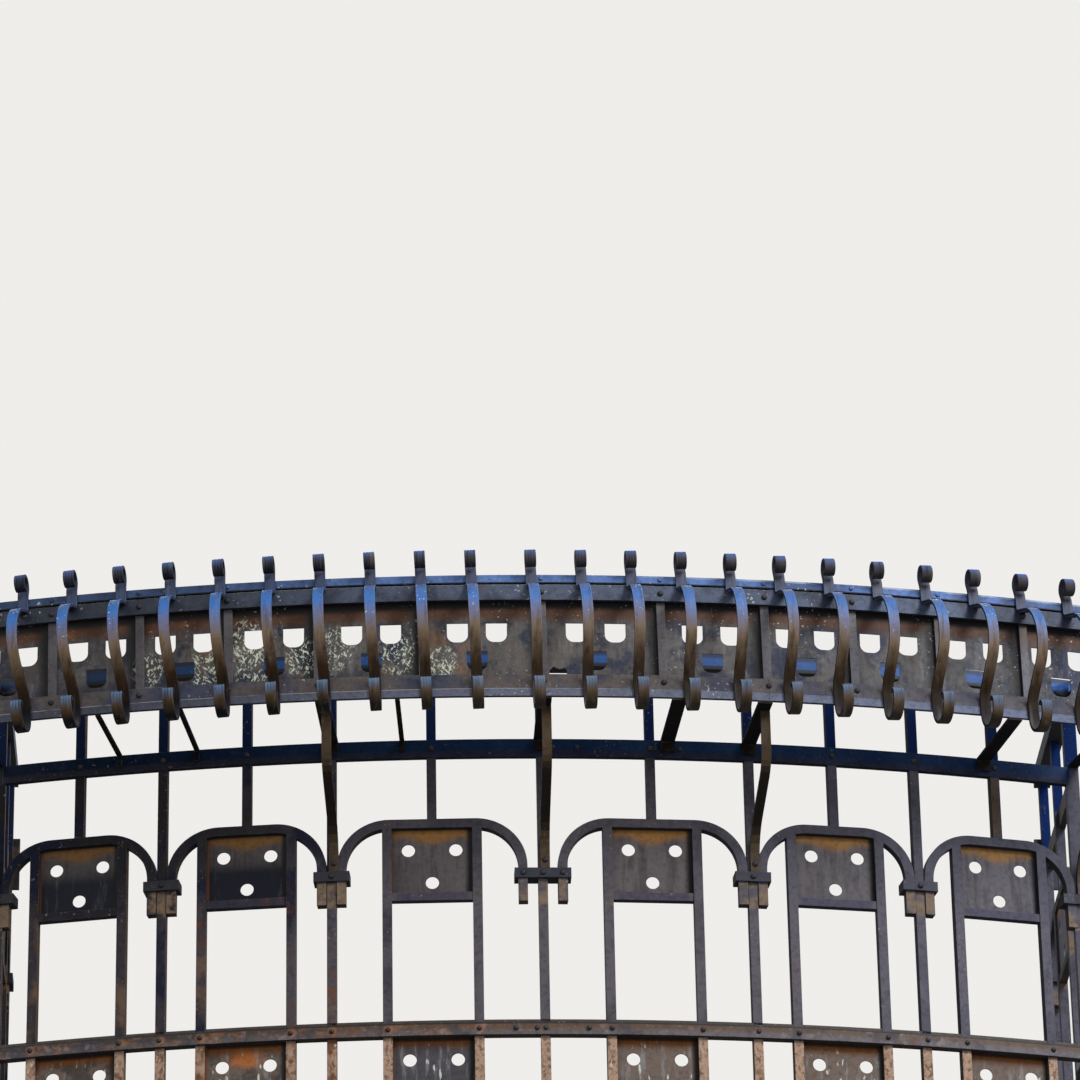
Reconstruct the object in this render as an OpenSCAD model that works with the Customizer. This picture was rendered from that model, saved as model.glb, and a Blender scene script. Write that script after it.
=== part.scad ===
// A bow-fronted wrought iron balcony: a curved balustrade of six bays with side
// returns to the wall, and a pierced flower guard with scroll straps carried in
// front of it on brackets. Heights given "above the middle rail" are measured
// from the top edge of the middle rail. The wall is the plane y = 0 and the
// balcony stands out towards -Y.

/* [Plan] */
// Radius of the bow, at the centre line of the bars
bow_radius = 4540; // [3500:10:6000]
// Distance from the wall to the middle of the bow
bow_depth = 620; // [520:10:900]
// Width of each of the four outer bays, along the bow
outer_bay = 360; // [340:5:420]
// Width of each of the two middle bays, along the bow
middle_bay = 443; // [430:1:500]
// Centre post to the centre of the panel in a middle bay
middle_panel_offset = 232; // [225:1:240]

/* [Heights] */
// Top of the handrail above the floor
rail_height = 1100; // [1000:10:1200]
// Top of the handrail above the middle rail
handrail_rise = 843; // [800:1:880]
// Top of the upper rail above the middle rail
upper_rail_rise = 638; // [600:1:660]
// Top of the hoops above the middle rail
hoop_rise = 456; // [440:1:470]
// Top of the collars above the middle rail
collar_rise = 339; // [330:1:345]

/* [Bars] */
// Side of the square bars
bar = 20; // [16:1:24]
// Side of the two corner posts
corner_bar = 28; // [24:1:36]
// Centre distance of the two bars of a pair
pair_spacing = 190; // [180:1:200]
// Outer radius of the hoops' bends
hoop_bend = 110; // [95:1:120]
// Height of the flat bar of the upper rail
upper_rail_h = 40; // [30:1:45]
// Height of the handrail
handrail_h = 37; // [16:1:44]
// Depth of the handrail
handrail_d = 36; // [30:1:50]

/* [Plates] */
// Thickness of the pierced plates
plate_t = 3; // [2:0.5:5]
// Radius of the round holes in the plates
plate_hole_r = 14; // [12:0.5:16]
// Distance of the two upper holes from the middle of the plate
plate_hole_x = 50; // [45:1:54]

/* [Flower guard] */
// Front face of the guard's bars, out from the balustrade's centre line
guard_reach = 230; // [180:5:280]
// Thickness of the guard's flat bars and ribs
guard_bar_t = 8; // [6:1:10]
// Width of the ribs between the pierced sheets
rib_w = 18; // [14:1:24]
// Sideways lean of the ribs
rib_lean = 0.8; // [0:0.1:1.5]
// Width and height of the holes in the sheets
slot_size = 44; // [38:1:48]
// Radius of the rounded lower corners of those holes
slot_corner = 17; // [10:1:20]
// Distance of the two upper holes from the middle of a sheet
slot_x = 41; // [36:1:46]

/* [Scroll straps] */
// Width of the straps
strap_w = 23; // [18:1:28]
// Thickness of the straps and of the curved brackets
strap_t = 7; // [5:0.5:8]
// Angle between two straps, seen from the centre of the bow
strap_step = 1.275; // [1.2:0.005:1.35]
// Sideways lean of the straps
strap_lean = 2.3; // [0:0.1:3.5]
// How much more the straps right of the middle lean, for each degree along the bow
strap_lean_growth = 0.09; // [0:0.01:0.15]

/* [Floor] */
// Thickness of the floor slab
slab_t = 120; // [80:5:160]
// Reach of the slab beyond the balustrade's centre line
slab_nose = 70; // [50:5:100]

/* [Hidden] */

iron = [0.13, 0.14, 0.17];
worn_iron = [0.24, 0.20, 0.17];
stone = [0.70, 0.67, 0.61];

fine = 720;
smooth = 48;
// How deep a flat piece is let into the round face that it is riveted to
seat = 0.03;

// Plan positions. Angles are seen from the centre of the bow, 0 at its middle.
bow_centre_y = bow_radius - bow_depth;
function along(s) = s / bow_radius * 180 / PI;
outer_a = along(outer_bay);
middle_a = along(middle_bay);
post_a = [
    -middle_a - 2 * outer_a, -middle_a - outer_a, -middle_a, 0,
    middle_a, middle_a + outer_a, middle_a + 2 * outer_a
];
end_a = post_a[6];
panel_a = [
    (post_a[0] + post_a[1]) / 2, (post_a[1] + post_a[2]) / 2, -along(middle_panel_offset),
    along(middle_panel_offset), (post_a[4] + post_a[5]) / 2, (post_a[5] + post_a[6]) / 2
];
corner_x = bow_radius * sin(end_a);
corner_y = bow_centre_y - bow_radius * cos(end_a);

// Heights. The floor is the slab's top, and z = 0 is the middle of the slab.
floor_z = slab_t / 2;
mid_z = floor_z + rail_height - handrail_rise;
hand_z = mid_z + handrail_rise;
upper_z = mid_z + upper_rail_rise;
hoop_z = mid_z + hoop_rise;
collar_z = mid_z + collar_rise;
foot_z = mid_z + 265;
mid_rail_h = 36;
bottom_rail_h = 28;
bottom_rail_z = floor_z + 14;
cross_h = 18;
upper_cross_z = mid_z + 271;
lower_cross_z = mid_z - 213;
collar_h = 22;
collar_t = 8;

// A foot of a hoop stands beside each post; at the centre post it stands off.
foot_gap = 0.6;
side_foot = bar + foot_gap;
outer_span = outer_bay / 2 - side_foot;
middle_span = middle_bay - side_foot - middle_panel_offset;
centre_foot = middle_panel_offset - middle_span;
function hoop_span(bay) = (bay == 3 || bay == 4) ? middle_span : outer_span;

// The side returns run from the corner posts to the wall posts.
flange_t = 8;
wall_post_y = -flange_t - bar / 2;
side_front_foot = corner_y + corner_bar / 2 + bar / 2 + foot_gap;
side_back_foot = wall_post_y - bar - foot_gap;
side_mid_y = (side_front_foot + side_back_foot) / 2;
side_span = (side_back_foot - side_front_foot) / 2;

// Guard heights, above the middle rail
top_bar = [900, 919];
upper_bar = [861, 896];
lower_bar = [656, 688];
bottom_bar = [638, 656];
rib_range = [656, 919];
sheet_range = [662, 890];
upper_slot_z = 792;
lower_slot_z = 727;
sheet_t = 2.5;
rib_reach = guard_reach - guard_bar_t;
sheet_reach = rib_reach - guard_bar_t;

// The ribs stand in front of the posts and the balusters. All but the end ribs and
// the centre one are set a little further from the middle.
rib_spread = along(8);
function rib_place(i) = i % 2 == 0 ? post_a[i / 2] : panel_a[(i - 1) / 2];
rib_a = [for (i = [0:12]) rib_place(i) + (i % 6 == 0 ? 0 : sign(i - 6) * rib_spread)];
// How far the holes of each of the twelve sheets lie to the right of its middle
slot_shift = [-9, -2, -2, 0, 0, -13, -14, -5, -9, -16, -16, -10];

first_strap_left = -1.68;
first_strap_right = -0.16;
left_straps = 10;
right_straps = 12;
strap_a = concat(
    [for (i = [left_straps - 1:-1:0]) first_strap_left - i * strap_step],
    [for (i = [0:right_straps - 1]) first_strap_right + i * strap_step]
);

// Struts from the upper rail to the guard: [angle, width]
wide_strut = 30;
thin_strut = 10;
strut_t = 6;
struts = [
    [post_a[2], wide_strut], [post_a[3], wide_strut], [post_a[4], wide_strut],
    [3.4, wide_strut], [12.1, wide_strut],
    [-11.3, thin_strut], [-9.2, thin_strut], [-3.7, thin_strut]
];

// Puts its children on the bow: x along the bow, -y out of the balcony.
module on_bow(a, reach = 0) {
    translate([0, bow_centre_y, 0])
        rotate([0, 0, a])
            translate([0, -(bow_radius + reach), 0])
                children();
}

// Puts its children on a side return: x along the side, -y out of the balcony.
module on_side(side) {
    translate([side * corner_x, side_mid_y, 0])
        rotate([0, 0, side * 90])
            children();
}

// A bar bent to the bow, with its reach from r0 to r1 and its height from z0 to z1
module bow_bar(r0, r1, z0, z1, a0 = -end_a, a1 = end_a) {
    translate([0, bow_centre_y, 0])
        rotate([0, 0, a0 - 90])
            rotate_extrude(angle = a1 - a0, $fn = fine)
                translate([bow_radius + r0, z0])
                    square([r1 - r0, z1 - z0]);
}

module upright(side_length, z0, z1) {
    translate([-side_length / 2, -side_length / 2, z0])
        cube([side_length, side_length, z1 - z0]);
}

// Stands a flat outline up: its x stays, its y becomes z, and it is t thick from y0.
module stand(y0, t) {
    translate([0, y0 + t, 0])
        rotate([90, 0, 0])
            linear_extrude(height = t)
                children();
}

// The bars of the rails that cross in front of the uprights and are let into them
module upper_rail_stock() {
    bow_bar(-2, 12, upper_z - upper_rail_h, upper_z);
}

module middle_rail_stock() {
    bow_bar(-4, 10, mid_z - mid_rail_h, mid_z);
    bow_bar(10, 18, mid_z - mid_rail_h, mid_z - 8);
}

module corner_post_stock() {
    for (side = [-1, 1])
        translate([side * corner_x, corner_y, 0])
            upright(corner_bar, floor_z, hand_z - handrail_h);
}

module wall_post_stock() {
    for (side = [-1, 1])
        translate([side * corner_x, wall_post_y, 0])
            upright(bar, floor_z, hand_z - handrail_h);
}

module front_post_stock() {
    for (i = [1:5])
        on_bow(post_a[i])
            upright(bar, floor_z, hand_z - handrail_h);
}

module foot_plate() {
    translate([-30, -30, floor_z])
        cube([60, 60, 6]);
}

// Floor

module slab_outline(inset) {
    half = corner_x + slab_nose - inset;
    intersection() {
        translate([0, bow_centre_y])
            circle(r = bow_radius + slab_nose - inset, $fn = fine);
        translate([-half, -bow_depth - slab_nose])
            square([2 * half, bow_depth + slab_nose]);
    }
}

module floor_slab() {
    lip = 35;
    lip_h = 70;
    color(stone) {
        translate([0, 0, floor_z - lip_h])
            linear_extrude(height = lip_h)
                slab_outline(0);
        translate([0, 0, -slab_t / 2])
            linear_extrude(height = slab_t - lip_h)
                slab_outline(lip);
    }
}

// Rails of the front

module bottom_rail() {
    color(iron)
        difference() {
            bow_bar(-12, 12, bottom_rail_z, bottom_rail_z + bottom_rail_h);
            front_post_stock();
            corner_post_stock();
        }
}

module middle_rail() {
    color(iron)
        difference() {
            middle_rail_stock();
            corner_post_stock();
        }
}

module upper_rail() {
    color(iron)
        difference() {
            upper_rail_stock();
            corner_post_stock();
        }
}

module handrail() {
    corner = handrail_d / 2;
    color(iron) {
        bow_bar(-corner, corner, hand_z - handrail_h, hand_z);
        for (side = [-1, 1])
            translate([side * corner_x - corner, corner_y - corner, hand_z - handrail_h])
                cube([handrail_d, -corner_y + corner, handrail_h]);
    }
}

// Uprights

module front_posts() {
    color(iron)
        difference() {
            for (i = [1:5])
                on_bow(post_a[i]) {
                    upright(bar, floor_z, hand_z - handrail_h);
                    foot_plate();
                }
            upper_rail_stock();
            middle_rail_stock();
        }
}

module corner_and_wall_posts() {
    color(iron) {
        corner_post_stock();
        wall_post_stock();
        for (side = [-1, 1]) {
            translate([side * corner_x, corner_y, 0])
                foot_plate();
            translate([side * corner_x - 30, -60, floor_z])
                cube([60, 60 - flange_t, 6]);
        }
    }
}

module upper_balusters() {
    color(iron) {
        difference() {
            for (a = panel_a)
                on_bow(a)
                    upright(bar, hoop_z, hand_z - handrail_h);
            upper_rail_stock();
        }
        for (side = [-1, 1])
            difference() {
                on_side(side)
                    upright(bar, hoop_z, hand_z - handrail_h);
                side_upper_rail_stock(side);
            }
    }
}

// Hoops, pairs of bars and cross bars

// The outline of an arch with straight legs, a flat top and round bends
module arch(half, top, bend) {
    intersection() {
        translate([-half, foot_z])
            square([2 * half, top - foot_z]);
        union() {
            translate([-half, foot_z])
                square([2 * half, top - bend - foot_z]);
            translate([-half + bend, foot_z])
                square([2 * (half - bend), top - foot_z]);
            for (side = [-1, 1])
                translate([side * (half - bend), top - bend])
                    circle(r = bend, $fn = 96);
        }
    }
}

module hoop(span) {
    stand(-bar / 2, bar)
        difference() {
            arch(span + bar / 2, hoop_z, hoop_bend);
            arch(span - bar / 2, hoop_z - bar, hoop_bend - bar);
        }
}

module hoop_feet(span) {
    for (side = [-1, 1])
        translate([side * span, 0, 0])
            upright(bar, foot_z, collar_z + 10);
}

module bay_frame(span) {
    hoop(span);
    for (side = [-1, 1])
        translate([side * pair_spacing / 2, 0, 0])
            upright(bar, bottom_rail_z + bottom_rail_h, hoop_z - bar / 2);
    for (z = [upper_cross_z, lower_cross_z])
        translate([-pair_spacing / 2, -8, z])
            cube([pair_spacing, 16, cross_h]);
}

module bow_frame(bay) {
    color(iron)
        difference() {
            on_bow(panel_a[bay - 1])
                bay_frame(hoop_span(bay));
            middle_rail_stock();
        }
}

module side_frame(side) {
    color(iron)
        difference() {
            on_side(side)
                bay_frame(side_span);
            side_middle_rail_stock(side);
        }
}

// Plates with three round holes

module holed_plate(z0, z1) {
    upper_hole = z1 - 47;
    lower_hole = upper_hole - 74;
    width = pair_spacing - bar;
    stand(2, plate_t)
        difference() {
            translate([-width / 2, z0])
                square([width, z1 - z0]);
            for (side = [-1, 1])
                translate([side * plate_hole_x, upper_hole])
                    circle(r = plate_hole_r, $fn = smooth);
            translate([0, lower_hole])
                circle(r = plate_hole_r, $fn = smooth);
        }
}

module plate_pair(span) {
    difference() {
        holed_plate(upper_cross_z + cross_h, hoop_z - bar);
        hoop(span);
    }
    holed_plate(lower_cross_z + cross_h, mid_z - mid_rail_h);
}

module bay_plates(bay) {
    color(worn_iron)
        on_bow(panel_a[bay - 1])
            plate_pair(hoop_span(bay));
}

module side_plates(side) {
    color(worn_iron)
        on_side(side)
            plate_pair(side_span);
}

// Side returns

module side_bar(side, y0, y1, z0, z1) {
    length = wall_post_y - corner_y;
    mid = (wall_post_y + corner_y) / 2;
    translate([side * corner_x, mid, 0])
        rotate([0, 0, side * 90])
            translate([-length / 2, y0, z0])
                cube([length, y1 - y0, z1 - z0]);
}

module side_upper_rail_stock(side) {
    side_bar(side, -12, 2, upper_z - upper_rail_h, upper_z);
}

module side_middle_rail_stock(side) {
    side_bar(side, -10, 4, mid_z - mid_rail_h, mid_z);
    side_bar(side, -18, -10, mid_z - mid_rail_h, mid_z - 8);
}

module side_rails(side) {
    color(iron)
        difference() {
            union() {
                side_upper_rail_stock(side);
                side_middle_rail_stock(side);
                side_bar(side, -12, 12, bottom_rail_z, bottom_rail_z + bottom_rail_h);
            }
            corner_post_stock();
            wall_post_stock();
            translate([side * corner_x - 50, wall_post_y, 0])
                cube([100, 100, hand_z]);
        }
}

flange_w = 50;
flange_h = 120;
flange_hole_r = 6;
flange_hole_spacing = 84;
flange_z = [mid_z - mid_rail_h / 2, upper_z - upper_rail_h / 2];

module wall_flanges() {
    color(iron)
        for (side = [-1, 1], z = flange_z)
            translate([side * corner_x, 0, z])
                stand(-flange_t, flange_t)
                    difference() {
                        translate([-flange_w / 2, -flange_h / 2])
                            square([flange_w, flange_h]);
                        for (end = [-1, 1])
                            translate([0, end * flange_hole_spacing / 2])
                                circle(r = flange_hole_r, $fn = smooth);
                    }
}

// Collars round the posts and the hoops' feet

module collar_block(x0, x1) {
    translate([x0, -bar / 2 - collar_t, collar_z - collar_h])
        cube([x1 - x0, bar + 2 * collar_t, collar_h]);
}

module all_bars_through_collars() {
    front_post_stock();
    corner_post_stock();
    wall_post_stock();
    for (bay = [1:6])
        on_bow(panel_a[bay - 1])
            hoop_feet(hoop_span(bay));
    for (side = [-1, 1])
        on_side(side)
            hoop_feet(side_span);
}

module collars() {
    wrap = bar * 1.5 + collar_t;
    centre_wrap = centre_foot + bar / 2 + collar_t;
    reach = corner_bar / 2 + bar + collar_t;
    color(iron)
        difference() {
            union() {
                for (i = [1, 2, 4, 5])
                    on_bow(post_a[i])
                        collar_block(-wrap, wrap);
                on_bow(0)
                    collar_block(-centre_wrap, centre_wrap);
                for (side = [-1, 1]) {
                    on_bow(side * end_a)
                        collar_block(side > 0 ? -reach : 0, side > 0 ? 0 : reach);
                    translate([side * corner_x, corner_y, 0])
                        translate([-corner_bar / 2 - collar_t, -corner_bar / 2 - collar_t, collar_z - collar_h])
                            cube([corner_bar + 2 * collar_t, reach + corner_bar / 2 + collar_t, collar_h]);
                    translate([side * corner_x - bar / 2 - collar_t, side_back_foot - bar / 2 - collar_t,
                               collar_z - collar_h])
                        cube([bar + 2 * collar_t, 2 * bar + 2 * collar_t, collar_h]);
                }
            }
            all_bars_through_collars();
        }
}

// Flower guard

// Each bar is in six lengths, one for each bay, that butt in front of every other rib.
module guard_bar(range) {
    joint = along(0.25);
    past_end = 0.15;
    color(iron)
        for (bay = [1:6])
            bow_bar(rib_reach, guard_reach, mid_z + range[0], mid_z + range[1],
                    rib_a[2 * bay - 2] + (bay == 1 ? -past_end : joint),
                    rib_a[2 * bay] + (bay == 6 ? past_end : -joint));
}

// Leans its children to the left about the foot of the guard.
module leaning(lean) {
    foot = mid_z + bottom_bar[0];
    translate([0, 0, foot])
        rotate([0, -lean, 0])
            translate([0, 0, -foot])
                children();
}

module guard_ribs() {
    middle = (rib_reach + sheet_reach) / 2;
    color(iron)
        for (a = rib_a)
            intersection() {
                bow_bar(sheet_reach, rib_reach, mid_z + rib_range[0], mid_z + rib_range[1],
                        -end_a - 1, end_a + 1);
                on_bow(a, middle)
                    leaning(rib_lean)
                        translate([-rib_w / 2, -guard_bar_t, mid_z + rib_range[0] - 20])
                            cube([rib_w, 2 * guard_bar_t, rib_range[1] - rib_range[0] + 40]);
            }
}

// A hole with a flat top and rounded lower corners
module slot_outline() {
    half = slot_size / 2;
    translate([-half, slot_corner - half])
        square([slot_size, slot_size - slot_corner]);
    translate([slot_corner - half, -half])
        square([slot_size - 2 * slot_corner, slot_size]);
    for (side = [-1, 1])
        translate([side * (half - slot_corner), slot_corner - half])
            circle(r = slot_corner, $fn = smooth);
}

module slots(a) {
    on_bow(a, sheet_reach)
        stand(-10, 20) {
            for (side = [-1, 1])
                translate([side * slot_x, mid_z + upper_slot_z])
                    slot_outline();
            translate([0, mid_z + lower_slot_z])
                slot_outline();
        }
}

// The gap that rust has eaten through the sheet right of the centre rib
module rust_gap() {
    on_bow(0.36, sheet_reach)
        stand(-10, 20)
            translate([0, mid_z + 700])
                polygon([[-19, -9], [-6, -14], [12, -11], [20, -2], [16, 9], [2, 7], [-9, 13], [-17, 5]]);
}

module guard_sheets(bay) {
    gap_a = along(1);
    color(worn_iron)
        difference() {
            for (i = [2 * bay - 2, 2 * bay - 1])
                bow_bar(sheet_reach - sheet_t, sheet_reach, mid_z + sheet_range[0], mid_z + sheet_range[1],
                        rib_a[i] + gap_a, rib_a[i + 1] - gap_a);
            for (i = [2 * bay - 2, 2 * bay - 1])
                slots((rib_a[i] + rib_a[i + 1]) / 2 + along(slot_shift[i]));
            if (bay == 4)
                rust_gap();
        }
}

// Scroll straps. A path is a chain of moves from a start point and a heading:
// [length] goes straight on, and [radius, turn] follows an arc, turning left by
// a positive angle. Headings are degrees from the outward direction.

function arc_end(p, h, r, turn) =
    let (s = sign(turn), n = h + s * 90)
    p + r * [cos(n), sin(n)] - r * [cos(n + turn), sin(n + turn)];

function move_points(p, h, move, pitch = 15) =
    len(move) == 1
        ? [p + move[0] * [cos(h), sin(h)]]
        : let (steps = ceil(abs(move[1]) / pitch))
          [for (i = [1:steps]) arc_end(p, h, move[0], move[1] * i / steps)];

function move_headings(h, move, pitch = 15) =
    len(move) == 1
        ? [h]
        : let (steps = ceil(abs(move[1]) / pitch))
          [for (i = [1:steps]) h + move[1] * i / steps];

function path_points(p, h, moves, i = 0) =
    i == len(moves)
        ? []
        : let (
              points = move_points(p, h, moves[i]),
              headings = move_headings(h, moves[i])
          )
          concat(
              [for (k = [0:len(points) - 1]) [points[k], headings[k]]],
              path_points(points[len(points) - 1], headings[len(headings) - 1], moves, i + 1)
          );

function side_point(entry, distance) =
    entry[0] + distance * [-sin(entry[1]), cos(entry[1])];

// The outline of a strap of thickness t that follows a path both ways from p
function strap_outline(p, t, up_moves, down_moves) =
    let (
        up = path_points(p, 90, up_moves),
        down = path_points(p, -90, down_moves),
        chain = concat(
            [for (k = [len(up) - 1:-1:0]) [up[k][0], up[k][1] + 180]],
            [[p, -90]],
            down
        )
    )
    concat(
        [for (entry = chain) side_point(entry, t / 2)],
        [for (k = [len(chain) - 1:-1:0]) side_point(chain[k], -t / 2)]
    );

// A strap runs both ways from the top edge of the top bar: back over the bar into the
// top roll, and down past the upper bar into the belly, the lower bars and the hook.
stem_foot = 921;
top_roll = [[30, 20], [10.7], [18, -200], [14, -110]];
scroll_body = [
    [26], [10, 70], [40], [86, -70], [75, -54], [68.8], [35, 54], [25.5], [40, 180], [9, 150]
];

module scroll_strap() {
    outline = strap_outline([strap_t / 2, stem_foot], strap_t, top_roll, scroll_body);
    translate([strap_w / 2, 0, mid_z])
        rotate([90, 0, -90])
            linear_extrude(height = strap_w)
                polygon([for (q = outline) [q[0], q[1]]]);
}

module scroll_straps(first, last) {
    color(worn_iron)
        for (i = [first:last])
            on_bow(strap_a[i], guard_reach - seat)
                leaning(strap_lean + strap_lean_growth * max(strap_a[i], 0))
                    scroll_strap();
}

// What carries the guard

// From the top of a collar a bracket bends outwards and up again.
bracket_moves = [[25], [90, -62], [110], [60, 62]];
// The brackets of the inner posts are fixed a little to the right of the posts' middles.
bracket_shift = along(5);

// A bracket of a post whose front face is at the given reach, up to a height above the
// middle rail
module curved_bracket(post_face, top) {
    start = [post_face + strap_t / 2, collar_rise];
    bends = path_points(start, 90, bracket_moves);
    end = [[bends[len(bends) - 1][0][0], top], 90];
    chain = concat([[start, 90]], bends, [end]);
    outline = concat(
        [for (entry = chain) side_point(entry, strap_t / 2)],
        [for (k = [len(chain) - 1:-1:0]) side_point(chain[k], -strap_t / 2)]
    );
    translate([bar / 2, 0, mid_z])
        rotate([90, 0, -90])
            linear_extrude(height = bar)
                polygon(outline);
}

module curved_brackets() {
    color(worn_iron)
        difference() {
            union() {
                for (i = [2:4])
                    on_bow(post_a[i] + bracket_shift)
                        curved_bracket(bar / 2, bottom_bar[0] - strut_t);
                for (side = [-1, 1])
                    on_bow(side * end_a)
                        curved_bracket(corner_bar / 2, bottom_bar[0]);
            }
            corner_post_stock();
        }
}

module strut(width) {
    z1 = mid_z + bottom_bar[0];
    translate([-width / 2, -guard_reach, z1 - strut_t])
        cube([width, guard_reach - 12, strut_t]);
    translate([-width / 2, -12 - strut_t, z1 - strut_t - 22])
        cube([width, strut_t, 22]);
}

module guard_struts() {
    color(iron)
        for (s = struts)
            on_bow(s[0])
                strut(s[1]);
}

// Two flat bars close each end of the guard, from its last rib to the corner post.
module guard_ends() {
    color(iron)
        difference() {
            for (side = [-1, 1], z = [bottom_bar[0], top_bar[0] - 100])
                on_bow(side * end_a)
                    translate([-bar / 2, -sheet_reach, mid_z + z])
                        cube([bar, sheet_reach, strut_t]);
            corner_post_stock();
        }
}

floor_slab();
bottom_rail();
middle_rail();
upper_rail();
handrail();
front_posts();
corner_and_wall_posts();
upper_balusters();
collars();
bow_frame(1);  // bay_frame_1
bow_frame(2);  // bay_frame_2
bow_frame(3);  // bay_frame_3
bow_frame(4);  // bay_frame_4
bow_frame(5);  // bay_frame_5
bow_frame(6);  // bay_frame_6
bay_plates(1);  // bay_plates_1
bay_plates(2);  // bay_plates_2
bay_plates(3);  // bay_plates_3
bay_plates(4);  // bay_plates_4
bay_plates(5);  // bay_plates_5
bay_plates(6);  // bay_plates_6
side_frame(-1);  // side_frame_left
side_frame(1);  // side_frame_right
side_plates(-1);  // side_plates_left
side_plates(1);  // side_plates_right
side_rails(-1);  // side_rails_left
side_rails(1);  // side_rails_right
wall_flanges();
guard_bar(top_bar);  // guard_top_bar
guard_bar(upper_bar);  // guard_upper_bar
guard_bar(lower_bar);  // guard_lower_bar
guard_bar(bottom_bar);  // guard_bottom_bar
guard_ribs();
guard_sheets(1);  // guard_sheets_1
guard_sheets(2);  // guard_sheets_2
guard_sheets(3);  // guard_sheets_3
guard_sheets(4);  // guard_sheets_4
guard_sheets(5);  // guard_sheets_5
guard_sheets(6);  // guard_sheets_6
scroll_straps(0, 6);  // scroll_straps_left
scroll_straps(7, 14);  // scroll_straps_middle
scroll_straps(15, 21);  // scroll_straps_right
curved_brackets();
guard_struts();
guard_ends();
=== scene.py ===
import math

import bmesh
import bpy
from mathutils import Matrix, Vector


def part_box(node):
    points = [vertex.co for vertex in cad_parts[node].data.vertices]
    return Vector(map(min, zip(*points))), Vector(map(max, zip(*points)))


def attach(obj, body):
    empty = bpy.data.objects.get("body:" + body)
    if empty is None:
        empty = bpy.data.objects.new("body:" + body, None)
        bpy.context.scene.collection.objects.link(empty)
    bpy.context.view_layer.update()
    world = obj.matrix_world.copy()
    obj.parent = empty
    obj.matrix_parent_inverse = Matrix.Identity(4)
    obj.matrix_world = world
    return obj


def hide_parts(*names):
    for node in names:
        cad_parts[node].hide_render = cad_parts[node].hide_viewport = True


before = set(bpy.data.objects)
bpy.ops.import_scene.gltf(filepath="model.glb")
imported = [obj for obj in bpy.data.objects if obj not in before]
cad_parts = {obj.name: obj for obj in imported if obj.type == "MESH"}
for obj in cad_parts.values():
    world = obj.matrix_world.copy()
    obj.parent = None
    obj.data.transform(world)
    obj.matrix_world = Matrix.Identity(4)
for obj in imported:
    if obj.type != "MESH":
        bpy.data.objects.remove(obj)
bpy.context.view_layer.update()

# Driving sizes of the ironwork, in metres and degrees
BOW_RADIUS = 4.540
BOW_DEPTH = 0.620
OUTER_BAY = 0.360
MIDDLE_BAY = 0.443
MIDDLE_PANEL = 0.232
PAIR_SPACING = 0.190
PAIR_SHIFTS = (-PAIR_SPACING / 2, PAIR_SPACING / 2)
BAR = 0.020
COLLAR_T = 0.008
GUARD_REACH = 0.230
RIB_LEAN = 0.8
RIB_SPREAD = 0.008
STRAP_LEAN = 2.3
STRAP_LEAN_GROWTH = 0.09
STRAP_W = 0.023
STRAP_T = 0.007
STRAP_STEP = 1.275
FIRST_STRAP_LEFT = -1.68
FIRST_STRAP_RIGHT = -0.16
LEFT_STRAPS = 10
RIGHT_STRAPS = 12
# How far the straps sit in the bars they lie on, and the least distance that counts
SEAT = 0.00003
TINY = 0.000001

# Places worked out from them and from the frame
BOW_CENTRE_Y = BOW_RADIUS - BOW_DEPTH


def along(length):
    return math.degrees(length / BOW_RADIUS)


def across(angle, radius=BOW_RADIUS):
    """How far along x a place at an angle is"""
    return radius * math.sin(math.radians(angle))


MIDDLE_A = along(MIDDLE_BAY)
OUTER_A = along(OUTER_BAY)
POST_ANGLES = [-MIDDLE_A - 2 * OUTER_A, -MIDDLE_A - OUTER_A, -MIDDLE_A, 0.0,
               MIDDLE_A, MIDDLE_A + OUTER_A, MIDDLE_A + 2 * OUTER_A]
PANEL_ANGLES = [(POST_ANGLES[0] + POST_ANGLES[1]) / 2, (POST_ANGLES[1] + POST_ANGLES[2]) / 2,
                -along(MIDDLE_PANEL), along(MIDDLE_PANEL),
                (POST_ANGLES[4] + POST_ANGLES[5]) / 2, (POST_ANGLES[5] + POST_ANGLES[6]) / 2]
POST_X = [across(a) for a in POST_ANGLES]
PANEL_X = [across(a) for a in PANEL_ANGLES]
# Ribs stand a little outward of the posts and balusters, but for the middle and outermost ones
RIB_PLACES = sorted(POST_ANGLES + PANEL_ANGLES)
RIB_ANGLES = [a if i % 6 == 0 else a + math.copysign(along(RIB_SPREAD), i - 6)
              for i, a in enumerate(RIB_PLACES)]
STRAP_ANGLES = ([FIRST_STRAP_LEFT - i * STRAP_STEP for i in reversed(range(LEFT_STRAPS))]
                + [FIRST_STRAP_RIGHT + i * STRAP_STEP for i in range(RIGHT_STRAPS)])
MID_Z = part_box("middle_rail")[1].z
UPPER_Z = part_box("upper_rail")[1].z
HAND_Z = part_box("handrail")[1].z
COLLAR_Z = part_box("collars")[1].z
HOOP_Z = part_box("bay_frame_1")[1].z
GUARD_TOP_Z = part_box("guard_top_bar")[1].z
UPPER_BAR_Z = [corner.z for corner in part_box("guard_upper_bar")]
LOWER_BAR_Z = [corner.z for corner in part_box("guard_lower_bar")]
GUARD_FOOT_Z, BOTTOM_BAR_TOP_Z = [corner.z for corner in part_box("guard_bottom_bar")]
RAIL_RIVET_Z = MID_Z - 0.022
UPPER_RIVET_Z = UPPER_Z - 0.020
COLLAR_MID = COLLAR_Z - 0.011
UNDER_MIDDLE_RAIL = MID_Z - 0.036
CROSS_BAR_Z = MID_Z + 0.271
CROSS_BAR_H = 0.018
BROWN_BALUSTER_X = 0.965


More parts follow.
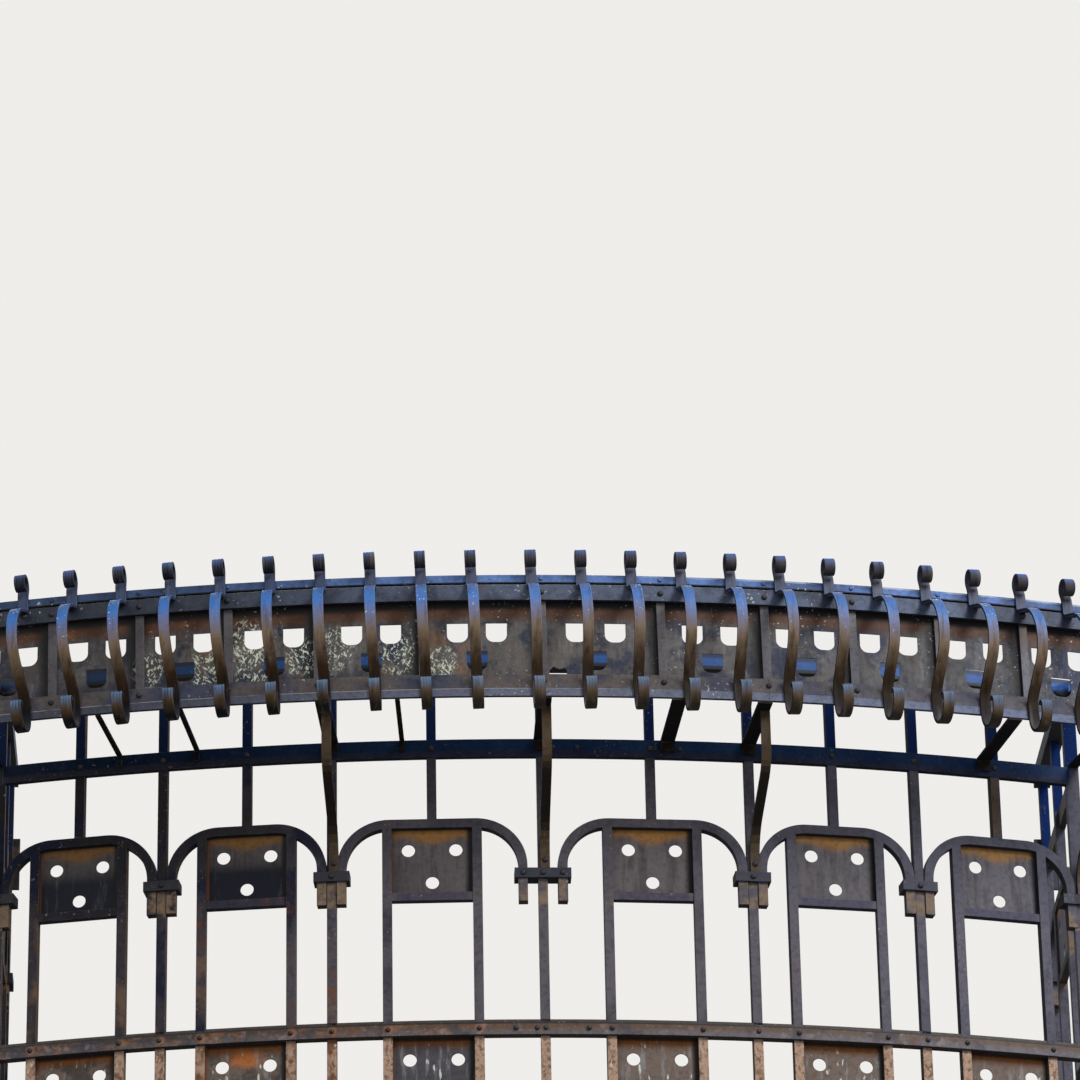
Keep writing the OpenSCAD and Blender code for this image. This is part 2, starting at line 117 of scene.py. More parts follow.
def on_bow(angle, reach=0.0, z=0.0, shift=0.0):
    """The place on the bow at an angle: x along it, -y out of the balcony."""
    turn = Matrix.Rotation(math.radians(angle), 4, "Z")
    return (Matrix.Translation((0, BOW_CENTRE_Y, z)) @ turn
            @ Matrix.Translation((shift, -(BOW_RADIUS + reach), 0)))


def leaning(lean):
    """A lean to the left about the guard's foot"""
    turn = Matrix.Rotation(math.radians(-lean), 4, "Y")
    return Matrix.Translation((0, 0, GUARD_FOOT_Z)) @ turn @ Matrix.Translation((0, 0, -GUARD_FOOT_Z))


def add_shape(bm, one):
    """Adds a finished shape to the mesh of its piece"""
    mesh = bpy.data.meshes.new("shape")
    one.to_mesh(mesh)
    one.free()
    bm.from_mesh(mesh)
    bpy.data.meshes.remove(mesh)


def finish_piece(bm, name, finish, smooth_angle, replaces=()):
    mesh = bpy.data.meshes.new(name)
    bm.to_mesh(mesh)
    bm.free()
    piece = bpy.data.objects.new(name, mesh)
    bpy.context.scene.collection.objects.link(piece)
    mesh.materials.append(finish)
    mesh.shade_smooth()
    mesh.set_sharp_from_angle(angle=math.radians(smooth_angle))
    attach(piece, "root")
    if replaces:
        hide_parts(*replaces)


# Scroll straps: a flat bar with reeded ends, bent along a chain of moves in the
# plane that stands out from the guard. A move of one number is straight, and a move
# of two is a radius and a turn. Headings are degrees from outward, up is 90.
STRAP_FOOT = MID_Z + 0.921
TOP_ROLL = [(0.030, 20), (0.0107,), (0.018, -200), (0.014, -110)]
SCROLL_BODY = [(0.026,), (0.010, 70), (0.040,), (0.086, -70), (0.075, -54), (0.0688,),
               (0.035, 54), (0.0255,), (0.040, 180), (0.009, 150)]
REED_ACROSS = (-0.0060, 0.0, 0.0060)
REED_HALF = 0.0013
ROLL_REED_DEPTH = 0.0009
FAINT_REED_DEPTH = 0.0004
FAINT_FROM = 4.0
HOOK_REED_DEPTH = 0.0010
HOOK_REED_RISE = 0.030
CORNER_CUT = 0.0008
WEAR_BAND = 0.0022
STRAP_SMOOTH = 40
# The straps of each piece, counted from the left end
STRAP_PIECES = (("left", 0, 7), ("middle", 7, 15), ("right", 15, 22))


def move_length(move):
    return move[0] if len(move) == 1 else move[0] * math.radians(abs(move[1]))


ROLL_LENGTH = sum(move_length(m) for m in TOP_ROLL)
BODY_LENGTH = sum(move_length(m) for m in SCROLL_BODY)
ROLL_REEDS = -0.026
HOOK_REEDS = BODY_LENGTH - 0.052


def strap_section():
    """The bar's outline: across it, and out from its middle. Its wall side carries the reeds."""
    half_w, half_t = STRAP_W / 2, STRAP_T / 2
    front = [(-half_w, half_t - CORNER_CUT), (-half_w + CORNER_CUT, half_t), (-half_w + WEAR_BAND, half_t),
             (half_w - WEAR_BAND, half_t), (half_w - CORNER_CUT, half_t), (half_w, half_t - CORNER_CUT)]
    reeds = []
    for x in reversed(REED_ACROSS):
        reeds += [(x + REED_HALF, -half_t), (x, -half_t), (x - REED_HALF, -half_t)]
    back = ([(half_w, CORNER_CUT - half_t), (half_w - CORNER_CUT, -half_t), (half_w - WEAR_BAND, -half_t)]
            + reeds
            + [(WEAR_BAND - half_w, -half_t), (CORNER_CUT - half_w, -half_t), (-half_w, CORNER_CUT - half_t)])
    return front + back


def edges_of(made):
    return [g for g in made if isinstance(g, bmesh.types.BMEdge)]


def strap_pitch(radius):
    """Degrees between the steps of a bend"""
    return 14 if radius < 0.015 else 9 if radius < 0.05 else 5


def bend_along(bm, ring, place, heading, moves, run, way):
    """Carries a ring of edges along straight and round moves, and gives its last ring.

    The layer run gets each point's way along the bar: it grows down the body and
    falls up the roll, as way says.
    """
    gone = 0.0
    for move in moves:
        h = math.radians(heading)
        before = set(bm.verts)
        if len(move) == 1:
            step = Vector((0, -math.cos(h), math.sin(h))) * move[0]
            made = bmesh.ops.extrude_edge_only(bm, edges=ring)["geom"]
            verts = [g for g in made if isinstance(g, bmesh.types.BMVert)]
            ring = [e for e in edges_of(made) if all(v in verts for v in e.verts)]
            bmesh.ops.translate(bm, verts=verts, vec=step)
            for v in verts:
                v[run] = way * (gone + move[0])
            place = place + step
        else:
            radius, turn = move
            side = math.copysign(1, turn)
            centre = place + side * radius * Vector((0, math.sin(h), math.cos(h)))
            verts = list(dict.fromkeys(v for e in ring for v in e.verts))
            steps = max(1, math.ceil(abs(turn) / strap_pitch(radius)))
            made = bmesh.ops.spin(bm, geom=verts + ring, cent=centre, axis=(-1, 0, 0),
                                  angle=math.radians(turn), steps=steps)["geom_last"]
            ring = edges_of(made)
            start = math.atan2(place.z - centre.z, -(place.y - centre.y))
            for v in set(bm.verts) - before:
                swept = math.atan2(v.co.z - centre.z, -(v.co.y - centre.y)) - start
                v[run] = way * (gone + radius * ((side * swept) % math.tau))
            turned = Matrix.Rotation(math.radians(turn), 3, (-1, 0, 0))
            place = centre + turned @ (place - centre)
            heading += turn
        gone += move_length(move)
    return ring


def reed_depth(run, angle):
    """How deep a groove is at a point of the bar. The grooves run out before the bar turns away."""
    if run < ROLL_REEDS:
        return ROLL_REED_DEPTH if angle < FAINT_FROM else FAINT_REED_DEPTH
    return HOOK_REED_DEPTH * min(max(run - HOOK_REEDS, 0) / HOOK_REED_RISE, 1)


def add_strap(bm, angle):
    one = bmesh.new()
    run = one.verts.layers.float.new("run")
    outer = one.verts.layers.float.new("outer")
    worn_highlit_edge = one.verts.layers.float.new("worn_highlit_edge")
    place = Vector((0, -STRAP_T / 2, STRAP_FOOT))
    corners = [one.verts.new((x, place.y - out, place.z)) for x, out in strap_section()]
    for corner, (x, out) in zip(corners, strap_section()):
        corner[outer] = 0.5 + out / STRAP_T
        corner[worn_highlit_edge] = 1.0 if abs(x) > STRAP_W / 2 - 1.5 * CORNER_CUT else 0.0
    ring = [one.edges.new((a, b)) for a, b in zip(corners, corners[1:] + corners[:1])]
    ends = [bend_along(one, ring, place, 90, TOP_ROLL, run, -1),
            bend_along(one, ring, place, -90, SCROLL_BODY, run, 1)]
    for end in ends:
        bmesh.ops.holes_fill(one, edges=end, sides=0)
    bmesh.ops.recalc_face_normals(one, faces=one.faces)
    for v in one.verts:
        if v[outer] < 0.1 and any(abs(v.co.x - x) < TINY for x in REED_ACROSS):
            v.co -= v.normal * reed_depth(v[run], angle)
    lean = STRAP_LEAN + STRAP_LEAN_GROWTH * max(angle, 0)
    bmesh.ops.transform(one, verts=one.verts, matrix=on_bow(angle, GUARD_REACH - SEAT) @ leaning(lean))
    add_shape(bm, one)


# Rivets
RIVET_PROFILE = [(1.0, 0.0), (0.93, 0.38), (0.68, 0.73), (0.35, 0.93), (0.0, 1.0)]
RIVET_SIDES = 10
RIVET_R = 0.0065
RIVET_H = 0.0045
RIVET_SMOOTH = 50


def add_rivet(bm, place, radius, height):
    """A domed head, its foot at the place and its crown towards the place's -y"""
    one = bmesh.new()
    points = [one.verts.new((r * radius, -h * height, 0)) for r, h in RIVET_PROFILE]
    edges = [one.edges.new(pair) for pair in zip(points, points[1:])]
    bmesh.ops.spin(one, geom=points + edges, cent=(0, 0, 0), axis=(0, 1, 0),
                   angle=math.tau, steps=RIVET_SIDES, use_merge=True)
    bmesh.ops.remove_doubles(one, verts=one.verts, dist=TINY)
    foot = [e for e in one.edges if e.is_boundary]
    bmesh.ops.holes_fill(one, edges=foot, sides=0)
    bmesh.ops.recalc_face_normals(one, faces=one.faces)
    bmesh.ops.transform(one, verts=one.verts, matrix=place)
    add_shape(bm, one)


def rivets(name, places, finish, radius=RIVET_R, height=RIVET_H):
    bm = bmesh.new()
    for place in places:
        add_rivet(bm, place, radius, height)
    finish_piece(bm, name, finish, RIVET_SMOOTH)


# Finishes. Every tone is red, green and blue from 0 to 255.
# The darkest tone serves for real pitting and streaks, and also for painted shade and painted shadows.
SOOT_AND_SHADE = (14, 14, 17)
SLATE_IRON = (50, 52, 64)
# Blue for the painted reflection of the sky on the straps' bellies
SKY_REFLECTION_BLUE = (52, 100, 164)
# Tan for the painted reflection of the ground on the straps' lower bellies
GROUND_REFLECTION_TAN = (124, 104, 84)
PALE_BROWN = (120, 100, 80)
WORN_BROWN = (158, 130, 110)
UMBER = (64, 45, 31)
RUST = (112, 64, 34)
ORANGE_RUST = (158, 90, 42)
GOLD_RUST = (126, 92, 50)
BARE_EDGE = (122, 128, 146)
LIME_WHITE = (206, 208, 194)
LIME_SPLASH = (198, 204, 184)
FLECK = (168, 148, 128)
# The ironwork is duller towards its left end, and a little paler and bluer towards its right end
LEFT_END = -1.0
FULL_TONE_X = 0.0
RIGHT_END = 1.2
RIGHT_TINT = (1.0, 1.1, 1.3, 1.0)


def painted(tone):
    """A tone as the linear colour that a node takes. A colour or an output of a node stays as it is."""
    def linear(c):
        c /= 255
        return c / 12.92 if c <= 0.04045 else ((c + 0.055) / 1.055) ** 2.4
    if isinstance(tone, bpy.types.NodeSocket) or len(tone) == 4:
        return tone
    return (*map(linear, tone), 1.0)


def dulled(tone, share):
    """A tone with only a share of its light"""
    return tuple(c * share for c in painted(tone)[:3]) + (1.0,)


class Finish:
    """A node material whose patterns read Object coordinates"""

    def __init__(self, name):
        self.material = bpy.data.materials.new(name)
        self.material.use_nodes = True
        self.tree = self.material.node_tree
        self.shader = self.tree.nodes["Principled BSDF"]
        self.place = self.node("ShaderNodeTexCoord").outputs["Object"]
        self.geometry = self.node("ShaderNodeNewGeometry")
        axes = self.node("ShaderNodeSeparateXYZ", {0: self.place}).outputs
        self.x, self.z = axes[0], axes[2]
        facing = self.node("ShaderNodeSeparateXYZ", {0: self.geometry.outputs["Normal"]}).outputs
        self.right, self.up = facing[0], facing[2]
        self.fine = self.noise(90, 6, 0.7)
        self.patch = self.noise(16, 5, 0.62)
        self.broad = self.noise(3.2, 3, 0.5)
        self.rust_mask = None

    def node(self, kind, inputs=None, **settings):
        made = self.tree.nodes.new(kind)
        for key, value in settings.items():
            setattr(made, key, value)
        for key, value in (inputs or {}).items():
            if isinstance(value, bpy.types.NodeSocket):
                self.tree.links.new(value, made.inputs[key])
            else:
                made.inputs[key].default_value = value
        return made

    def math(self, operation, a, b=0.0):
        return self.node("ShaderNodeMath", {0: a, 1: b}, operation=operation).outputs[0]

    def times(self, *masks):
        product = masks[0]
        for mask in masks[1:]:
            product = self.math("MULTIPLY", product, mask)
        return product

    def plus(self, a, b):
        return self.math("ADD", a, b)

    def minus(self, a, b):
        return self.math("SUBTRACT", a, b)

    def step(self, value, low, high):
        """0 below low and 1 above high, or the other way round where low is above high"""
        return self.node("ShaderNodeMapRange", {0: value, 1: low, 2: high},
                         interpolation_type="SMOOTHSTEP").outputs[0]

    def window(self, value, low, high, soft):
        """1 between low and high"""
        return self.times(self.step(value, low - soft, low + soft),
                          self.step(value, high + soft, high - soft))

    def near(self, value, middle, reach):
        """1 at the middle, and 0 from a reach away on"""
        return self.step(self.math("ABSOLUTE", self.minus(value, middle)), reach, 0.0)

    def spread(self, value, low, high):
        """A value from 0 to 1 spread between two others"""
        return self.node("ShaderNodeMapRange", {0: value, 3: low, 4: high}).outputs[0]

    def ramp(self, value, low, high, stops):
        """A row of tones over the values from low to high"""
        scaled = self.node("ShaderNodeMapRange", {0: value, 1: low, 2: high}).outputs[0]
        made = self.node("ShaderNodeValToRGB", {0: scaled})
        elements = made.color_ramp.elements
        for i, (place, tone) in enumerate(stops):
            element = elements[i] if i < 2 else elements.new(place)
            element.position = place
            element.color = painted(tone)
        return made.outputs[0]

    def fading(self, tone, share):
        """A tone that keeps a share of its light at the left end, and turns to the tint at the right end"""
        ragged = self.plus(self.x, self.spread(self.broad, -0.25, 0.25))
        colour = self.mix(self.step(ragged, LEFT_END, FULL_TONE_X), dulled(tone, share), tone)
        tinted = self.node("ShaderNodeMix", {0: 1.0, 6: colour, 7: RIGHT_TINT}, data_type="RGBA",
                           blend_type="MULTIPLY").outputs[2]
        return self.mix(self.step(ragged, FULL_TONE_X, RIGHT_END), colour, tinted)

    def noise(self, scale, detail=4.0, roughness=0.6, stretch=(1, 1, 1), offset=0.0):
        where = self.place
        if stretch != (1, 1, 1) or offset:
            where = self.node("ShaderNodeMapping", {"Vector": where, "Scale": stretch,
                                                    "Location": (offset, offset, offset)}).outputs[0]
        return self.node("ShaderNodeTexNoise", {"Vector": where, "Scale": scale, "Detail": detail,
                                                "Roughness": roughness}).outputs[0]

    def strokes(self, turn, offset):
        """Fine brush strokes that lean by a turn from upright"""
        turned = {"Vector": self.place, "Rotation": (0, math.radians(turn), 0), "Scale": (0.75, 1, 2.0),
                  "Location": (offset, offset, offset)}
        where = self.node("ShaderNodeMapping", turned, vector_type="TEXTURE").outputs[0]
        drawn = self.node("ShaderNodeTexNoise", {"Vector": where, "Scale": 150, "Detail": 4.0,
                                                 "Roughness": 0.62}).outputs[0]
        return self.step(drawn, 0.555, 0.63)

    def mix(self, factor, a, b):
        mixed = self.node("ShaderNodeMix", {0: factor, 6: painted(a), 7: painted(b)}, data_type="RGBA")
        return mixed.outputs[2]

    def layer(self, colour, tone, mask, amount=1.0):
        return self.mix(self.times(mask, amount), colour, tone)

    def mottled(self, colour, dark=0.35, haze=0.10):
        """Fine dark pitting, and a pale haze in patches"""
        colour = self.layer(colour, SOOT_AND_SHADE, self.step(self.fine, 0.46, 0.64), dark)
        return self.layer(colour, BARE_EDGE, self.step(self.noise(38, 5, 0.65, offset=6.0), 0.50, 0.74), haze)

    def rusted(self, colour, amount, bright=RUST, where=None, most=0.85):
        """Rust in patches, more of it below and where a mask asks for it"""
        eaten = self.plus(self.times(self.patch, 0.65), self.times(self.broad, 0.35))
        eaten = self.plus(eaten, self.times(self.step(self.up, -0.35, -0.9), 0.05))
        if where is not None:
            eaten = self.plus(eaten, self.times(where, 0.13))
        self.rust_mask = self.step(eaten, 0.66 - 0.2 * amount, 0.78 - 0.2 * amount)
        tones = self.mix(self.step(self.fine, 0.4, 0.6), UMBER, bright)
        return self.layer(colour, tones, self.rust_mask, most)

    def faces(self, colour, top=None, left=0.9, under=0.85, right=None):
        """Painted light and shade by the way a face turns: a painted tone for tops lit by the sky, painted
        shade on undersides and left faces, and painted warm light on right faces
        """
        if top is not None:
            colour = self.layer(colour, top, self.step(self.up, 0.3, 0.95))
        if right is not None:
            colour = self.layer(colour, right, self.step(self.right, 0.45, 0.9), 0.75)
        colour = self.layer(colour, SOOT_AND_SHADE, self.step(self.up, -0.35, -0.9), under)
        return self.layer(colour, SOOT_AND_SHADE, self.step(self.right, -0.45, -0.9), left)

    def flecked(self, colour, amount, tone=LIME_WHITE, scale=150, where=None, stretch=(1, 1, 1),
                offset=7.0):
        """Fine pale flecks, in drifts or where a mask asks for them"""
        spots = self.step(self.noise(scale, 2, 0.45, stretch, offset), 0.66, 0.72)
        if where is None:
            where = self.step(self.noise(7, 2, offset=offset + 3.0), 0.46, 0.60)
        return self.layer(colour, tone, self.times(spots, where), amount)

    def edged(self, colour, radius, tone=BARE_EDGE, amount=0.5):
        """Rounded corners, bare in places: the colour, and the normal to shade with"""
        bevel = self.node("ShaderNodeBevel", {"Radius": radius}, samples=6)
        flat = self.geometry.outputs["True Normal"]
        turned = self.node("ShaderNodeVectorMath", {0: bevel.outputs[0], 1: flat},
                           operation="DOT_PRODUCT").outputs["Value"]
        corner = self.step(turned, 0.985, 0.86)
        bare = self.times(corner, self.step(self.noise(34, 3), 0.40, 0.62))
        return self.layer(colour, tone, bare, amount), bevel.outputs[0]

    def surface(self, colour, normal=None, smooth=0.36, rough=0.60, strength=0.35, distance=0.0006,
                sheen=0.25, where=None):
        """Joins a colour to the shader. Fronts and tops have a sheen, sides and undersides are dull."""
        self.shader.inputs["Specular IOR Level"].default_value = sheen
        front = self.step(self.math("ABSOLUTE", self.right), 0.75, 0.35)
        smoother = self.times(front, self.step(self.up, -0.7, -0.25))
        if where is not None:
            smoother = self.times(smoother, where)
        roughness = self.spread(smoother, 1.0, self.spread(self.fine, smooth, rough))
        height = self.times(self.fine, 0.6)
        if self.rust_mask is not None:
            roughness = self.plus(roughness, self.times(self.rust_mask, 0.25))
            height = self.plus(height, self.times(self.rust_mask, 0.7))
        bump = {"Height": height, "Strength": strength, "Distance": distance}
        if normal is not None:
            bump["Normal"] = normal
        self.tree.links.new(self.node("ShaderNodeBump", bump).outputs[0], self.shader.inputs["Normal"])
        self.tree.links.new(colour, self.shader.inputs["Base Color"])
        self.tree.links.new(roughness, self.shader.inputs["Roughness"])
        return self.material


FOOT_REACH = 0.055
CROSS_BAR_REACH = 0.084


def upright_iron():
    """Posts, hoops and pairs: a painted sky reflection in blue above the upper rail, dark between, mottled
    rust below the middle rail, and painted light and shade by the way their faces turn
    """
    f = Finish("upright_iron")
    high = f.fading((74, 70, 76), 0.15)
    deep = f.fading((80, 75, 80), 0.35)
    colour = f.mix(f.step(f.z, COLLAR_Z + 0.04, COLLAR_Z - 0.09), high, deep)
    leftward = f.step(f.plus(f.x, f.spread(f.broad, -0.2, 0.2)), -0.15, -0.55)
    lengths = f.noise(7, 4, 0.6, (1, 1, 0.8), 12.0)
    navy = f.times(f.step(lengths, 0.50, 0.60), f.spread(leftward, 0.25, 0.85))
    colour = f.layer(colour, (13, 18, 38), navy)
    tan = f.times(f.step(lengths, 0.46, 0.36), f.step(f.z, COLLAR_Z, COLLAR_Z - 0.1))
    colour = f.layer(colour, (104, 80, 62), f.times(tan, f.spread(leftward, 0.10, 0.65)))

    low = f.step(f.z, UNDER_MIDDLE_RAIL + 0.01, UNDER_MIDDLE_RAIL - 0.01)
    colour = f.layer(colour, WORN_BROWN, low)
    pits = f.step(f.noise(105, 5, 0.7, (1, 1, 0.7), 22.0), 0.50, 0.60)
    colour = f.layer(colour, (66, 42, 26), f.times(low, pits), 0.7)

    at_feet = f.window(f.z, COLLAR_Z - 0.080, COLLAR_Z - 0.024, 0.004)
    scuffs = f.step(f.noise(30, 4, 0.6, offset=1.0), 0.36, 0.56)
    for x in POST_X:
        foot = f.step(f.near(f.x, x, FOOT_REACH), 0.0, 0.1)
        colour = f.layer(colour, PALE_BROWN, f.times(at_feet, foot, scuffs), 0.8)
    dim = f.fading((66, 62, 74), 0.25)
    crossing = f.window(f.z, CROSS_BAR_Z - 0.001, CROSS_BAR_Z + CROSS_BAR_H + 0.001, 0.001)
    for x in PANEL_X:
        between = f.step(f.near(f.x, x, CROSS_BAR_REACH), 0.0, 0.05)
        colour = f.layer(colour, dim, f.times(crossing, between))
    baluster = f.times(f.near(f.x, BROWN_BALUSTER_X, 0.04), f.step(f.z, HOOP_Z, HOOP_Z + 0.01),
                       f.step(f.z, UPPER_Z, UPPER_Z - 0.05))
    colour = f.layer(colour, (84, 64, 44), baluster, 0.85)

    colour = f.mottled(colour, haze=0.04)
    under_collars = f.times(leftward, f.step(f.z, COLLAR_Z, COLLAR_Z - 0.05), 0.75)
    colour = f.rusted(colour, 0.16, where=f.plus(under_collars, f.times(low, 0.5)))
    # Above the upper rail the bars take a painted reflection of the sky in deep blue
    above = f.step(f.z, UPPER_Z - 0.010, UPPER_Z + 0.004)
    sky = f.fading((8, 32, 72), 0.4)
    sky = f.layer(sky, SOOT_AND_SHADE, f.step(f.fine, 0.48, 0.68), 0.35)
    colour = f.layer(colour, sky, above)
    colour = f.flecked(colour, 0.8, (190, 172, 152), 120, low, (1, 1, 0.45))
    colour = f.flecked(colour, 0.35, FLECK, 170, offset=2.0)
    # Painted shade on undersides and left faces, and painted warm light on right faces
    colour = f.faces(colour, right=(70, 50, 36))
    colour, normal = f.edged(colour, 0.0022, amount=0.3)
    smoother = f.times(f.minus(1.0, above), f.spread(leftward, 0.8, 0.25))
    return f.surface(colour, normal, sheen=0.14, where=smoother)


RIVET_RUST_REACH = 0.016


def lipped_front(f, colour, low, tone):
    """The middle rail's front: browner above, rust patches at the left and round its rivets, and a pale lip
    from the height low up, with a painted shadow in black under it"""
    brown = f.fading((80, 58, 42), 0.3)
    colour = f.layer(colour, brown, f.step(f.z, low - 0.022, low - 0.009))
    leftward = f.step(f.x, 0.10, -0.30)
    rusty = f.step(f.noise(30, 5, 0.68, (1, 1, 1.8), 20.0), 0.50, 0.62)
    colour = f.layer(colour, (136, 90, 58), f.times(leftward, rusty), 0.42)
    colour = f.layer(colour, (30, 34, 48), f.step(f.noise(13, 5, 0.65, offset=21.0), 0.52, 0.62), 0.6)
    colour = f.layer(colour, (150, 140, 140), f.step(f.noise(42, 5, 0.65, offset=23.0), 0.54, 0.68), 0.3)
    left_rivets = POST_X[1:3] + [x + shift for x in PANEL_X[:3] for shift in PAIR_SHIFTS]
    level = f.near(f.z, RAIL_RIVET_Z, RIVET_RUST_REACH)
    for x in left_rivets:
        ring = f.times(f.near(f.x, x, RIVET_RUST_REACH), level, f.spread(f.patch, 0.4, 1.6))
        colour = f.layer(colour, (150, 100, 64), f.step(ring, 0.10, 0.60), 0.45)
    colour = f.layer(colour, tone, f.step(f.z, low - 0.0005, low + 0.0005), 0.9)
    # A painted shadow in black under the lip
    return f.layer(colour, SOOT_AND_SHADE, f.window(f.z, low - 0.0045, low + 0.0005, 0.0006), 0.9)


def rail_iron(name, tone, share, lip=None, foot=None, rust=0.35, bright=RUST, sheen=0.25):
    """A flat rail, with a lip along its top or a brown foot where it has them"""
    f = Finish(name)
    colour = f.fading(tone, share)
    if lip is not None:
        colour = lipped_front(f, colour, *lip)
    if foot is not None:
        low, brown = foot
        colour = f.layer(colour, brown, f.step(f.z, low + 0.003, low - 0.003), 0.5)
    colour = f.mottled(colour, haze=0.04)
    colour = f.rusted(colour, rust, bright=bright)
    colour = f.flecked(colour, 0.3, FLECK)
    # Painted shade on undersides and left faces
    colour = f.faces(colour, left=0.5)
    colour, normal = f.edged(colour, 0.0018, amount=0.3)
    return f.surface(colour, normal, sheen=sheen)


def guard_bar_iron(name, tone, share, rust, bright, painted_shadow_below=None, haze=0.08, wiped=None, painted_highlight_line=None):
    """A flat bar of the guard"""
    f = Finish(name)
    colour = f.fading(tone, share)
    if wiped is not None:
        colour = f.layer(colour, wiped, f.step(f.noise(6, 4, 0.6, offset=5.0), 0.46, 0.60), 0.7)
    colour = f.mottled(colour, haze=haze)
    colour = f.rusted(colour, rust, bright=bright, most=0.7)
    # A painted shadow in black along the bar's lower edge
    if painted_shadow_below is not None:
        colour = f.layer(colour, SOOT_AND_SHADE, f.step(f.z, painted_shadow_below + 0.0006, painted_shadow_below - 0.0006), 0.9)
    colour = f.flecked(colour, 0.5)
    # A painted highlight along a thin line near the bar's top, over part of its length
    if painted_highlight_line is not None:
        height, reach, pale = painted_highlight_line
        edge = f.times(f.step(f.z, height - 0.0006, height + 0.0006), f.step(f.x, *reach))
        edge = f.times(edge, f.step(f.noise(11, 3, offset=17.0), 0.36, 0.52))
        colour = f.layer(colour, pale, edge, 0.6)
    # Painted shade on undersides and left faces
    colour = f.faces(colour, left=0.6)
    colour, normal = f.edged(colour, 0.0016, amount=0.35)
    return f.surface(colour, normal, sheen=0.15)


def small_iron(name, tone, share, rust, bright=RUST, specks=0.2, left=0.9, sheen=0.2, brown_from=None):
    """Collars, brackets, struts, ribs and rivets, rusted more than the long bars"""
    f = Finish(name)
    colour = f.fading(tone, share)
    if brown_from is not None:
        colour = f.layer(colour, UMBER, f.times(f.step(f.x, 0.72, 0.86), f.step(f.z, *brown_from)), 0.8)
    colour = f.mottled(colour, haze=0.06)
    colour = f.rusted(colour, rust, bright=bright, most=0.7)
    colour = f.flecked(colour, specks, FLECK)
    # Painted shade on undersides and left faces
    colour = f.faces(colour, left=left)
    colour, normal = f.edged(colour, 0.0020, amount=0.3)
    return f.surface(colour, normal, sheen=sheen)


def handrail_iron():
    """The handrail: clear blue along its faces, a painted reflection of the sky on its dark paint, with
    painted shade in black above and below
    """
    f = Finish("handrail_iron")
    # The clear blue is a painted reflection of the sky
    colour = f.fading((26, 74, 132), 0.25)
    colour = f.mottled(colour, dark=0.25, haze=0.02)
    colour = f.rusted(colour, 0.05)
    colour = f.flecked(colour, 0.2)
    # Painted shade in black over the upper part of the front and along its lower edge
    colour = f.layer(colour, SOOT_AND_SHADE, f.step(f.z, HAND_Z - 0.014, HAND_Z - 0.006), 0.75)
    colour = f.layer(colour, SOOT_AND_SHADE, f.step(f.z, HAND_Z - 0.026, HAND_Z - 0.031), 0.95)
    # A painted tone for the lit top, and painted shade on undersides and left faces
    colour = f.faces(colour, top=SLATE_IRON, under=0.95)
    colour, normal = f.edged(colour, 0.0025, amount=0.2)
    return f.surface(colour, normal)


# Tones along a strap from the end of its roll to the end of its hook, on its front and on its back.
# Besides the paint they hold painted light: blue where the bar leans back is a painted reflection of the sky,
# tan and brown where it turns down a painted reflection of the ground, and black at the roll's end,
# on the back and where the bar turns under is painted shade.
STRAP_FRONT_TONES_AND_LIGHT = [(0.0, SOOT_AND_SHADE), (0.18, (58, 66, 88)), (0.32, (36, 66, 112)), (0.41, SKY_REFLECTION_BLUE), (0.52, GROUND_REFLECTION_TAN),
               (0.64, (62, 44, 28)), (0.74, SOOT_AND_SHADE), (0.84, SLATE_IRON), (1.0, (36, 38, 48))]
STRAP_BACK_TONES_AND_LIGHT = [(0.0, SOOT_AND_SHADE), (0.04, SLATE_IRON), (0.09, (82, 106, 148)), (0.16, (24, 24, 30)), (0.89, SOOT_AND_SHADE),
              (0.93, (74, 58, 40)), (0.97, (78, 98, 124))]


